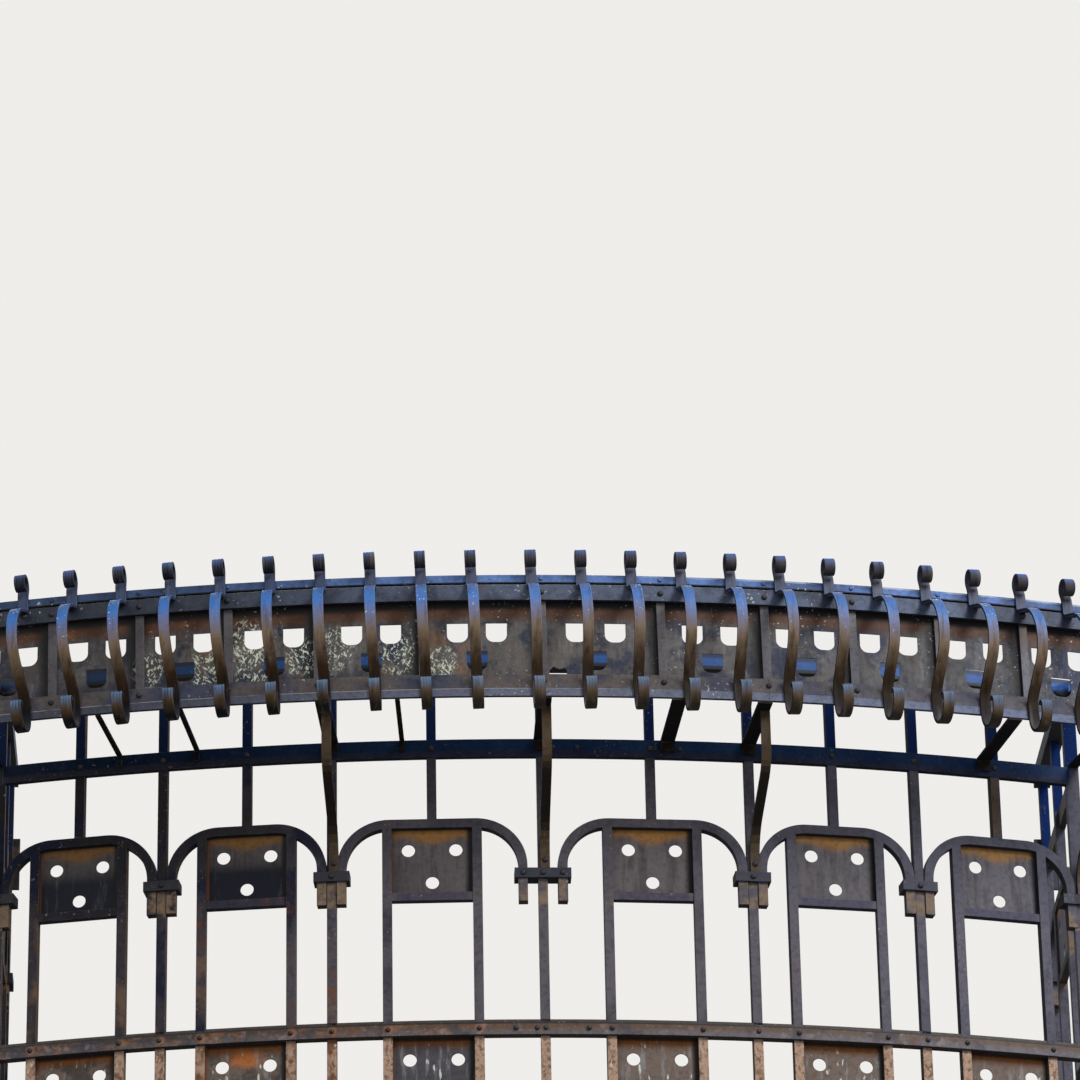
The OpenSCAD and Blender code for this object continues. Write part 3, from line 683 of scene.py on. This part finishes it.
def strap_iron():
    """Straps: a painted sky reflection in blue where they lean back, a painted ground reflection in brown
    where they turn down, painted shade on their sides, and bare at their edges with a painted highlight
    """
    f = Finish("strap_iron")
    run, outer, worn_highlit_edge = (f.node("ShaderNodeAttribute", attribute_name=name).outputs["Fac"]
                        for name in ("run", "outer", "worn_highlit_edge"))
    streaks = f.noise(26, 4, 0.6, (3.5, 1, 0.3), 9.0)
    ragged = f.plus(run, f.spread(f.noise(24, 4, 0.6), -0.014, 0.014))
    ragged = f.plus(ragged, f.times(f.window(run, 0.10, 0.30, 0.05), f.spread(streaks, -0.035, 0.035)))
    rightward = f.step(f.x, -0.65, 0.05)
    front, back = (f.ramp(ragged, -ROLL_LENGTH, BODY_LENGTH, tones) for tones in (STRAP_FRONT_TONES_AND_LIGHT, STRAP_BACK_TONES_AND_LIGHT))
    colour = f.mix(f.step(outer, 0.4, 0.6), back, front)
    colour = f.layer(colour, FLECK, rightward, 0.06)
    # A painted reflection of the sky in blue on the upturned faces of the rolls
    painted_sky_on_rolls = f.times(f.step(run, -0.045, -0.060), f.step(f.up, 0.15, 0.75), f.spread(rightward, 0.45, 0.85))
    colour = f.layer(colour, (50, 82, 142), painted_sky_on_rolls)
    colour = f.layer(colour, SOOT_AND_SHADE, f.step(f.fine, 0.50, 0.68), 0.22)
    colour = f.layer(colour, FLECK, f.step(f.noise(60, 5, 0.7, offset=3.0), 0.60, 0.78), 0.14)
    colour = f.layer(colour, SOOT_AND_SHADE, f.step(streaks, 0.50, 0.70), 0.45)
    colour = f.layer(colour, (150, 140, 132), f.step(streaks, 0.46, 0.28), 0.16)
    # Bare rubbed edges along the belly, lightened as a painted highlight: blue along its upper part, brown
    # lower down
    edge = f.times(f.step(worn_highlit_edge, 0.15, 0.85), f.spread(f.patch, 0.5, 1.2))
    blue = f.mix(rightward, (74, 106, 156), (108, 136, 180))
    brown = f.mix(rightward, (96, 90, 88), (132, 124, 120))
    bare = f.mix(f.step(run, 0.14, 0.20), blue, brown)
    colour = f.layer(colour, bare, f.times(edge, f.window(run, 0.030, 0.28, 0.04)), 0.65)
    belly = f.window(run, 0.030, 0.20, 0.03)
    few = f.times(belly, f.step(f.noise(9, 2, offset=2.0), 0.50, 0.60))
    colour = f.flecked(colour, 0.8, scale=170, where=few)
    # Painted shade: black on the left sides, dark brown on the right sides
    colour = f.layer(colour, SOOT_AND_SHADE, f.step(f.right, -0.5, -0.9), 0.9)
    colour = f.layer(colour, (34, 27, 24), f.step(f.right, 0.5, 0.9), 0.8)
    return f.surface(colour, smooth=0.40, rough=0.62, strength=0.25, sheen=0.12,
                     where=f.window(run, -0.070, 0.30, 0.01))


# Where lime is splashed on the guard: x, z and reach, in metres
SPLASHES = [(-0.83, MID_Z + 0.735, 0.05), (-0.71, MID_Z + 0.730, 0.05), (-0.625, MID_Z + 0.790, 0.06),
            (-0.60, MID_Z + 0.725, 0.07), (-0.51, MID_Z + 0.745, 0.05), (-0.435, MID_Z + 0.760, 0.06),
            (-0.31, MID_Z + 0.745, 0.06), (-0.215, MID_Z + 0.720, 0.05)]
SHEET_RADIUS = BOW_RADIUS + GUARD_REACH - 0.017
RIB_SLOPE = math.tan(math.radians(-RIB_LEAN))


def sheet_iron():
    """Guard sheets: rust under the upper bar with a painted shadow in black right beneath the bar, faded
    paint below, painted shade beside the ribs, and lime splashes
    """
    f = Finish("sheet_iron")
    head, toe = UPPER_BAR_Z[0], LOWER_BAR_Z[1]
    colour = f.fading((88, 84, 82), 0.8)
    leftward = f.step(f.x, 0.10, -0.25)
    colour = f.layer(colour, (116, 82, 46), f.times(leftward, f.step(f.patch, 0.48, 0.66)), 0.6)
    colour = f.layer(colour, (88, 76, 62), f.step(f.noise(24, 5, 0.6, offset=11.0), 0.50, 0.66), 0.5)
    navy = f.fading((28, 36, 58), 0.4)
    colour = f.layer(colour, navy, f.step(f.noise(11, 5, 0.62, offset=8.0), 0.49, 0.60), 0.85)
    colour = f.layer(colour, navy, f.step(f.noise(27, 5, 0.65, offset=14.0), 0.54, 0.66), 0.6)
    colour = f.layer(colour, (128, 130, 136), f.step(f.noise(30, 5, 0.65, offset=6.0), 0.56, 0.74), 0.3)
    # Painted shade: darker towards the upper bar
    colour = f.layer(colour, SOOT_AND_SHADE, f.step(f.z, head - 0.085, head - 0.030), 0.3)
    foot = f.step(f.plus(f.z, f.spread(f.patch, -0.02, 0.02)), toe + 0.040, toe + 0.008)
    colour = f.layer(colour, (42, 46, 60), f.times(foot, f.step(f.x, -0.25, -0.45)), 0.7)
    streaks = f.noise(36, 5, 0.65, (2.2, 1, 0.5), 15.0)
    colour = f.layer(colour, SOOT_AND_SHADE, f.step(streaks, 0.52, 0.68), 0.42)
    colour = f.layer(colour, (160, 160, 166), f.step(streaks, 0.46, 0.28), 0.2)
    left_end = f.times(f.step(f.patch, 0.40, 0.54), f.step(f.x, -0.66, -0.80))
    colour = f.layer(colour, (26, 30, 44), left_end, 0.5)

    band = f.layer((74, 42, 18), (124, 72, 36), f.times(leftward, f.step(f.noise(30, 3), 0.50, 0.75)), 0.7)
    ragged = f.plus(f.z, f.spread(f.noise(20, 4), -0.014, 0.014))
    colour = f.layer(colour, band, f.step(ragged, head - 0.050, head - 0.028), 0.85)
    # A painted shadow in black right under the upper bar
    shadow = f.plus(f.z, f.spread(f.noise(14, 2, offset=3.0), -0.003, 0.003))
    colour = f.layer(colour, SOOT_AND_SHADE, f.step(shadow, head - 0.022, head - 0.008), 0.95)
    colour = f.layer(colour, SOOT_AND_SHADE, f.step(f.fine, 0.46, 0.66), 0.3)
    # Painted shade in black to the left of each rib
    shift = f.times(f.minus(f.z, GUARD_FOOT_Z), RIB_SLOPE)
    for angle in RIB_ANGLES[1:]:
        away = f.minus(f.x, f.plus(shift, across(angle, SHEET_RADIUS)))
        shade = f.times(f.step(away, -0.042, -0.014), f.step(away, 0.002, 0.0))
        colour = f.layer(colour, SOOT_AND_SHADE, shade, 0.93)

    strokes = f.math("MAXIMUM", f.strokes(25, 4.0), f.strokes(-40, 16.0))
    drift = f.times(f.noise(26, 2, offset=1.0), 0.5)
    for x, z, reach in SPLASHES:
        here = f.times(f.near(f.x, x, reach), f.near(f.z, z, 1.3 * reach))
        splashed = f.step(f.plus(here, drift), 0.40, 0.78)
        colour = f.layer(colour, LIME_SPLASH, f.times(splashed, strokes), 0.95)
    colour = f.flecked(colour, 0.5, scale=170)
    colour, normal = f.edged(colour, 0.0012, (104, 92, 76), 0.4)
    return f.surface(colour, normal, smooth=0.5, rough=0.78, strength=0.3)


GOLD_RUN_REACH = 0.060
ORANGE_SPOT_Z = MID_Z - 0.064


def plate_iron():
    """Pierced plates: dark faded paint, gold rust along the top, and vertical runs"""
    f = Finish("plate_iron")
    colour = f.fading((92, 85, 85), 0.5)
    leftward = f.step(f.x, -0.15, -0.50)
    for z in (HOOP_Z - 0.150, MID_Z - 0.19):
        foot = f.times(leftward, f.step(f.near(f.z, z, 0.10), 0.0, 0.6))
        colour = f.layer(colour, (6, 10, 24), foot)
    colour = f.layer(colour, SOOT_AND_SHADE, f.step(f.noise(9, 4, 0.6, (7, 7, 0.8)), 0.44, 0.64), 0.4)
    pale_runs = f.noise(12, 4, 0.6, (6, 6, 0.9), 2.0)
    colour = f.layer(colour, (104, 102, 106), f.step(pale_runs, 0.55, 0.75), 0.3)

    low = f.step(f.z, MID_Z, MID_Z - 0.03)
    faded = f.layer((100, 86, 76), (64, 62, 68), f.window(f.x, -0.36, 0.1, 0.03))
    dull = f.times(f.step(f.noise(14, 4, 0.6, offset=13.0), 0.46, 0.58), leftward)
    faded = f.layer(faded, (46, 42, 40), dull, 0.7)
    colour = f.layer(colour, faded, low, 0.9)
    spot = f.times(f.near(f.x, PANEL_X[1], 0.070), f.near(f.z, ORANGE_SPOT_Z, 0.046))
    spot = f.times(spot, f.spread(f.noise(40, 5, 0.65, offset=24.0), 0.2, 1.8))
    colour = f.layer(colour, (168, 92, 30), f.step(spot, 0.20, 0.95), 0.75)
    colour = f.layer(colour, (136, 134, 136), f.times(low, f.step(pale_runs, 0.52, 0.68)), 0.5)
    colour = f.rusted(colour, 0.05, where=f.times(low, f.window(f.x, -0.80, -0.45, 0.1)), bright=ORANGE_RUST)
    colour = f.flecked(colour, 0.7, where=low, scale=110, stretch=(1, 1, 0.3))

    middle = f.near(f.x, PANEL_X[0], GOLD_RUN_REACH)
    for x in PANEL_X[1:]:
        middle = f.plus(middle, f.near(f.x, x, GOLD_RUN_REACH))
    ragged = f.plus(f.z, f.spread(f.noise(22, 4), -0.008, 0.010))
    gold = f.fading((148, 102, 46), 0.5)
    brown = (120, 68, 10)
    for z, tone, sag, shadow in ((HOOP_Z - BAR, gold, 0.014, 0.002), (UNDER_MIDDLE_RAIL, brown, 0.0, 0.006)):
        fallen = f.minus(z, f.plus(ragged, f.times(middle, sag)))
        top = f.times(f.step(fallen, 0.028, 0.004), f.step(fallen, -0.04, -0.02))
        colour = f.layer(colour, tone, top, 0.85)
        # A painted shadow in black along the top of the plates, under the hoop and under the middle rail
        colour = f.layer(colour, SOOT_AND_SHADE, f.window(f.z, z - shadow, z + 0.015, 0.003), 0.8)
    colour = f.layer(colour, SOOT_AND_SHADE, f.step(f.fine, 0.46, 0.66), 0.3)
    # Painted shade in black inside each pair, beside its right bar
    half = PAIR_SPACING / 2 - BAR / 2
    for x in PANEL_X:
        away = f.minus(f.x, x)
        shade = f.times(f.step(away, half - 0.016, half - 0.006), f.step(away, half + 0.006, half + 0.004))
        colour = f.layer(colour, SOOT_AND_SHADE, shade, 0.9)
        rim = f.times(f.step(away, 0.008 - half, 0.003 - half), f.step(away, -half - 0.006, -half - 0.004))
        colour = f.layer(colour, (118, 70, 44), f.times(rim, leftward), 0.7)
    colour, normal = f.edged(colour, 0.0012, SOOT_AND_SHADE, 0.6)
    return f.surface(colour, normal, smooth=0.45, rough=0.72, strength=0.3, sheen=0.14)


def slab_stone():
    """Weathered cast stone with fine grains, pores and dark runs down its face"""
    f = Finish("slab_stone")
    colour = f.mix(f.step(f.noise(6, 5, 0.6), 0.3, 0.7), (182, 170, 148), (160, 150, 134))
    grain = f.step(f.noise(260, 4, 0.7), 0.4, 0.65)
    colour = f.layer(colour, (206, 196, 176), grain, 0.35)
    runs = f.step(f.noise(7, 4, 0.6, (3, 3, 0.5), 4.0), 0.52, 0.72)
    colour = f.layer(colour, (104, 98, 88), runs, 0.45)
    pores = f.step(f.noise(70, 2, 0.5, offset=1.0), 0.66, 0.74)
    colour = f.layer(colour, (92, 86, 78), pores, 0.5)
    colour, normal = f.edged(colour, 0.004, (208, 200, 182), 0.4)
    return f.surface(colour, normal, smooth=0.75, rough=0.92, strength=0.5, distance=0.001)


uprights = upright_iron()
middle_rail = rail_iron("middle_rail_iron", (86, 78, 78), 0.6, lip=(MID_Z - 0.008, (58, 48, 44)), rust=0.42,
                        bright=(104, 64, 38))
# The upper rail's navy is a painted reflection of the sky on its dark paint
upper_rail = rail_iron("upper_rail_iron", (18, 40, 70), 0.35, foot=(UPPER_Z - 0.026, (48, 42, 44)), rust=0.22,
                       bright=(84, 52, 36), sheen=0.06)
handrail = handrail_iron()
top_bar = guard_bar_iron("top_bar_iron", (84, 112, 162), 0.35, 0.22, (136, 98, 84),
                         painted_shadow_below=GUARD_TOP_Z - 0.0165, wiped=(46, 60, 92),
                         painted_highlight_line=(GUARD_TOP_Z - 0.004, (0.05, 0.55), (168, 176, 186)))
upper_bar = guard_bar_iron("upper_bar_iron", (74, 82, 100), 0.3, 0.28, (104, 64, 44), wiped=(34, 38, 48))
lower_bar = guard_bar_iron("lower_bar_iron", (90, 82, 80), 0.7, 0.32, (122, 78, 58), wiped=(44, 54, 80))
bottom_bar = guard_bar_iron("bottom_bar_iron", (98, 102, 118), 0.35, 0.26, (142, 104, 92), haze=0.14,
                            painted_highlight_line=(BOTTOM_BAR_TOP_Z - 0.0015, (0.30, 0.0), (172, 160, 158)))
ribs = small_iron("rib_iron", (88, 84, 86), 0.75, 0.32, left=0.95, brown_from=(MID_Z + 0.76, MID_Z + 0.84))
collars = small_iron("collar_iron", (42, 42, 52), 0.2, 0.36, GOLD_RUST, left=0.8)
brackets = small_iron("bracket_iron", (72, 57, 40), 0.5, 0.30, GOLD_RUST, sheen=0.12)
struts = small_iron("strut_iron", (34, 27, 22), 0.3, 0.36, sheen=0.04)
rivet_iron = small_iron("rivet_iron", (44, 40, 42), 0.8, 0.30, specks=0.1)
sheets, plates, stone, straps = sheet_iron(), plate_iron(), slab_stone(), strap_iron()

# The first of these words in a node's name gives its finish. The other nodes are uprights.
FINISH_WORDS = (("slab", stone), ("handrail", handrail), ("upper_rail", upper_rail), ("rail", middle_rail),
                ("collars", collars), ("flanges", collars), ("top_bar", top_bar), ("upper_bar", upper_bar),
                ("lower_bar", lower_bar), ("bottom_bar", bottom_bar), ("ribs", ribs), ("brackets", brackets),
                ("struts", struts), ("ends", struts), ("sheets", sheets), ("plates", plates),
                ("straps", straps))
for name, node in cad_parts.items():
    for slot in node.material_slots:
        slot.material = next((finish for word, finish in FINISH_WORDS if word in name), uprights)

for name, first, last in STRAP_PIECES:
    bm = bmesh.new()
    for angle in STRAP_ANGLES[first:last]:
        add_strap(bm, angle)
    finish_piece(bm, f"straps_{name}", straps, STRAP_SMOOTH, [f"scroll_straps_{name}"])

# The handrail's top is a low dome over its flat bar, round the front and back along both sides.
CROWN = [(-0.0172, -0.0005), (-0.0168, 0.0012), (-0.0110, 0.0032), (-0.0040, 0.0040), (0.0040, 0.0040),
         (0.0110, 0.0032), (0.0168, 0.0012), (0.0172, -0.0005)]
CROWN_STEPS = 60
CROWN_SMOOTH = 40
WALL_GAP = 0.001
END_A = POST_ANGLES[-1]
CORNER_Y = BOW_CENTRE_Y - BOW_RADIUS * math.cos(math.radians(END_A))


def add_crown(bm, place, turn=None, length=None):
    """A length of the dome: bent round the bow by a turn, or straight along x by a length"""
    one = bmesh.new()
    corners = [one.verts.new((0, -x, z)) for x, z in CROWN]
    ring = [one.edges.new(pair) for pair in zip(corners, corners[1:] + corners[:1])]
    bmesh.ops.transform(one, verts=one.verts, matrix=place)
    bmesh.ops.holes_fill(one, edges=ring, sides=0)
    if turn is not None:
        made = bmesh.ops.spin(one, geom=corners + ring, cent=(0, BOW_CENTRE_Y, 0), axis=(0, 0, 1),
                              angle=math.radians(turn), steps=CROWN_STEPS)["geom_last"]
    else:
        made = bmesh.ops.extrude_edge_only(one, edges=ring)["geom"]
        verts = [g for g in made if isinstance(g, bmesh.types.BMVert)]
        bmesh.ops.translate(one, verts=verts, vec=place.to_3x3() @ Vector((length, 0, 0)))
    last = [e for e in edges_of(made) if e.is_boundary]
    bmesh.ops.holes_fill(one, edges=last, sides=0)
    bmesh.ops.recalc_face_normals(one, faces=one.faces)
    add_shape(bm, one)


bm = bmesh.new()
add_crown(bm, on_bow(-END_A, 0, HAND_Z), turn=2 * END_A)
for side in (-1, 1):
    corner = Matrix.Translation((side * POST_X[-1], CORNER_Y, HAND_Z))
    add_crown(bm, corner @ Matrix.Rotation(math.pi / 2, 4, "Z"), length=-CORNER_Y - WALL_GAP)
finish_piece(bm, "handrail_crown", handrail, CROWN_SMOOTH)

# Rivets of the guard, which lean with its ribs, and of its top bar
UPPER_BAR_MID = sum(UPPER_BAR_Z) / 2
LOWER_BAR_MID = sum(LOWER_BAR_Z) / 2
TOP_BAR_MID = GUARD_TOP_Z - 0.009
TOP_BAR_RIVET = (0.005, 0.003)


def on_ribs(*heights):
    return [on_bow(a, GUARD_REACH, z, (z - GUARD_FOOT_Z) * RIB_SLOPE) for a in RIB_ANGLES for z in heights]


rivets("guard_rivets", on_ribs(UPPER_BAR_MID, LOWER_BAR_MID), rivet_iron)
rivets("top_bar_rivets", on_ribs(TOP_BAR_MID), top_bar, *TOP_BAR_RIVET)

# Rivets of the rails and collars: their fronts' reach from the bow, and odd rivets' shifts
UPPER_RAIL_FRONT = 0.012
UPPER_PAIR_A = 3.4
UPPER_PAIR_SHIFTS = (-0.026, 0.026)
UPPER_MIDDLE_SHIFTS = (0.026, 0.077)
MIDDLE_RAIL_FRONT = 0.018
MIDDLE_RAIL_SHIFTS = (-0.062, -0.018, 0.090)
MIDDLE_RAIL_RIVET = (0.0055, 0.004)
COLLAR_FRONT = BAR / 2 + COLLAR_T
BRACKET_FRONT = BAR / 2 + STRAP_T
CENTRE_FEET = (-0.0416, 0.0416)
BRACKET_SHIFT = 0.005
BRACKET_RIVET_Z = COLLAR_Z + 0.018


def row(angles, reach, z, shifts=(0.0,)):
    return [on_bow(a, reach, z, shift) for a in angles for shift in shifts]


rivets("upper_rail_rivets", row(RIB_PLACES[1:-1], UPPER_RAIL_FRONT, UPPER_RIVET_Z)
       + row([UPPER_PAIR_A], UPPER_RAIL_FRONT, UPPER_RIVET_Z, UPPER_PAIR_SHIFTS)
       + row([0], UPPER_RAIL_FRONT, UPPER_RIVET_Z, UPPER_MIDDLE_SHIFTS), rivet_iron)
rivets("middle_rail_rivets", row(POST_ANGLES[1:-1], MIDDLE_RAIL_FRONT, RAIL_RIVET_Z)
       + row(PANEL_ANGLES, MIDDLE_RAIL_FRONT, RAIL_RIVET_Z, PAIR_SHIFTS)
       + row([0], MIDDLE_RAIL_FRONT, RAIL_RIVET_Z, MIDDLE_RAIL_SHIFTS), rivet_iron, *MIDDLE_RAIL_RIVET)
rivets("collar_rivets", row(POST_ANGLES[1:-1], COLLAR_FRONT, COLLAR_MID)
       + row([0], COLLAR_FRONT, COLLAR_MID, CENTRE_FEET)
       + row(POST_ANGLES[2:5], BRACKET_FRONT, BRACKET_RIVET_Z, [BRACKET_SHIFT]), collars)


# Stage, light and camera. The lamps light the floor near the balcony. Farther off it
# glows where it is seen, which keeps it as pale.
STAGE_Z = -6.0
STAGE_SIDE = 120.0
LIT_REACH = 7.0
DIM_REACH = 22.0
NEAR_GLOW = 0.06
FAR_GLOW = 0.52
BACKDROP = (0.86, 0.85, 0.83, 1)
SKY_LIGHT = (0.86, 0.92, 1.0, 1)
SKY_STRENGTH = 0.42


def pale_world():
    world = bpy.data.worlds.new("studio")
    bpy.context.scene.world = world
    world.use_nodes = True
    tree = world.node_tree
    light = tree.nodes["Background"]
    light.inputs["Color"].default_value = SKY_LIGHT
    light.inputs["Strength"].default_value = SKY_STRENGTH
    seen = tree.nodes.new("ShaderNodeBackground")
    seen.inputs["Color"].default_value = BACKDROP
    path = tree.nodes.new("ShaderNodeLightPath")
    shown = path.outputs["Is Camera Ray"]
    for ray in ("Is Glossy Ray", "Is Transmission Ray"):
        either = tree.nodes.new("ShaderNodeMath")
        either.operation = "MAXIMUM"
        tree.links.new(shown, either.inputs[0])
        tree.links.new(path.outputs[ray], either.inputs[1])
        shown = either.outputs[0]
    mixed = tree.nodes.new("ShaderNodeMixShader")
    tree.links.new(shown, mixed.inputs[0])
    tree.links.new(light.outputs[0], mixed.inputs[1])
    tree.links.new(seen.outputs[0], mixed.inputs[2])
    tree.links.new(mixed.outputs[0], tree.nodes["World Output"].inputs["Surface"])


def stage_floor():
    bm = bmesh.new()
    bmesh.ops.create_grid(bm, x_segments=1, y_segments=1, size=STAGE_SIDE / 2)
    bmesh.ops.translate(bm, verts=bm.verts, vec=(0, 0, STAGE_Z))
    mesh = bpy.data.meshes.new("stage_floor")
    bm.to_mesh(mesh)
    bm.free()
    floor = bpy.data.objects.new("stage_floor", mesh)
    bpy.context.scene.collection.objects.link(floor)
    f = Finish("stage_floor")
    tone = f.mix(f.noise(0.4, 2), (232, 230, 226), (226, 224, 220))
    f.tree.links.new(tone, f.shader.inputs["Base Color"])
    f.shader.inputs["Roughness"].default_value = 0.9
    path = f.node("ShaderNodeLightPath").outputs
    seen = f.math("MAXIMUM", path["Is Camera Ray"], path["Is Glossy Ray"])
    seen = f.math("MAXIMUM", seen, path["Is Transmission Ray"])
    away = f.node("ShaderNodeVectorMath", {0: f.place}, operation="LENGTH").outputs["Value"]
    glow = f.times(seen, f.spread(f.step(away, LIT_REACH, DIM_REACH), NEAR_GLOW, FAR_GLOW))
    f.shader.inputs["Emission Color"].default_value = BACKDROP
    f.tree.links.new(glow, f.shader.inputs["Emission Strength"])
    mesh.materials.append(f.material)


# Square lamps aimed at the balcony: name, place, side in metres and power in watts
AIMED_AT = Vector((0, -0.5, 0.8))
LAMPS = [("key", (5.0, -6.0, 6.5), 4.0, 1000), ("fill", (-6.0, -6.5, 3.0), 5.0, 160),
         ("back", (0.0, 5.0, 5.0), 4.0, 240)]


def area_light(name, place, side, power):
    data = bpy.data.lights.new(name, "AREA")
    data.shape = "SQUARE"
    data.size = side
    data.energy = power
    lamp = bpy.data.objects.new(name, data)
    lamp.location = place
    lamp.rotation_euler = (AIMED_AT - Vector(place)).to_track_quat("-Z", "Y").to_euler()
    bpy.context.scene.collection.objects.link(lamp)


# The photograph's camera, solved from the measured bars and rails
PHOTO_SIDE = 1080
FOCAL_PIXELS = 6010
SENSOR = 36.0
CAMERA_YAW = 2.75
CAMERA_PITCH = 26.35
CAMERA_ROLL = -1.07
AIM = Vector((0.0074, -0.620, 1.432))
AIM_DISTANCE = 12.977
FAR_CLIP = 200


def photo_camera():
    data = bpy.data.cameras.new("photo_camera")
    data.sensor_width = SENSOR
    data.lens = SENSOR * FOCAL_PIXELS / PHOTO_SIDE
    data.clip_end = FAR_CLIP
    camera = bpy.data.objects.new("photo_camera", data)
    turn = (Matrix.Rotation(math.radians(-CAMERA_YAW), 4, "Z")
            @ Matrix.Rotation(math.radians(90 + CAMERA_PITCH), 4, "X")
            @ Matrix.Rotation(math.radians(CAMERA_ROLL), 4, "Z"))
    backward = turn.to_3x3() @ Vector((0, 0, 1))
    camera.matrix_world = Matrix.Translation(AIM + AIM_DISTANCE * backward) @ turn
    bpy.context.scene.collection.objects.link(camera)
    bpy.context.scene.camera = camera


pale_world()
stage_floor()
for lamp in LAMPS:
    area_light(*lamp)
photo_camera()
bpy.context.scene.view_settings.view_transform = "Standard"
